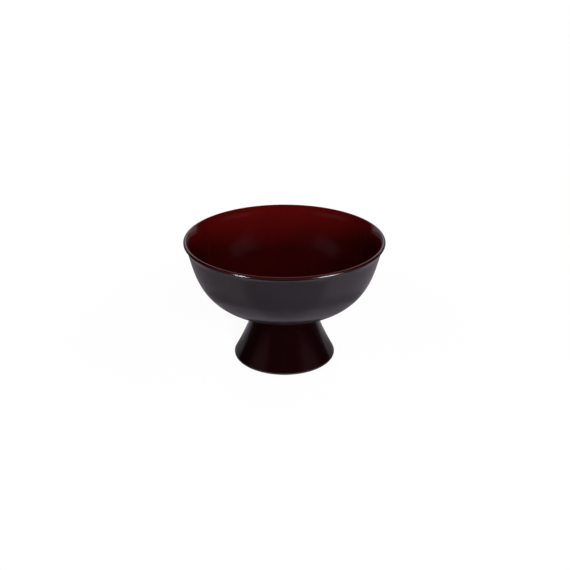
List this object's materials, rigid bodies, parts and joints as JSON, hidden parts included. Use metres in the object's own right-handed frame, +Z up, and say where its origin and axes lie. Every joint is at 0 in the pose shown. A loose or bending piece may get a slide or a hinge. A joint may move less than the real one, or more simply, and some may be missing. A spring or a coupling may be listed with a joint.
{
  "type": "footed serving bowl",
  "caption": "Wide round stoneware bowl with a turned-out lip on a hollow flared foot, glossy red inside, matte charcoal outside and glossy dark red on the foot, for serving food.",
  "frame": {"origin": "on the axis, in the plane of the bare ring that the foot stands on", "axes": "+Z up along the axis, towards the open bowl"},
  "size_m": [0.22, 0.22, 0.14],
  "materials": {
    "stoneware": "bare fired clay, dry and slightly rough",
    "oxblood_gloss": "glossy oxblood red glaze",
    "charcoal_matte": "satin-matte charcoal glaze with a slight violet cast",
    "dark_red_gloss": "glossy near-black red glaze"
  },
  "bodies": {
    "root": {"bowl_body": "stoneware", "foot_body": "stoneware", "luting_ring": "stoneware", "inner_glaze": "oxblood_gloss", "outer_glaze": "charcoal_matte", "foot_glaze": "dark_red_gloss", "foot_lining": "dark_red_gloss"}
  },
  "joints": []
}
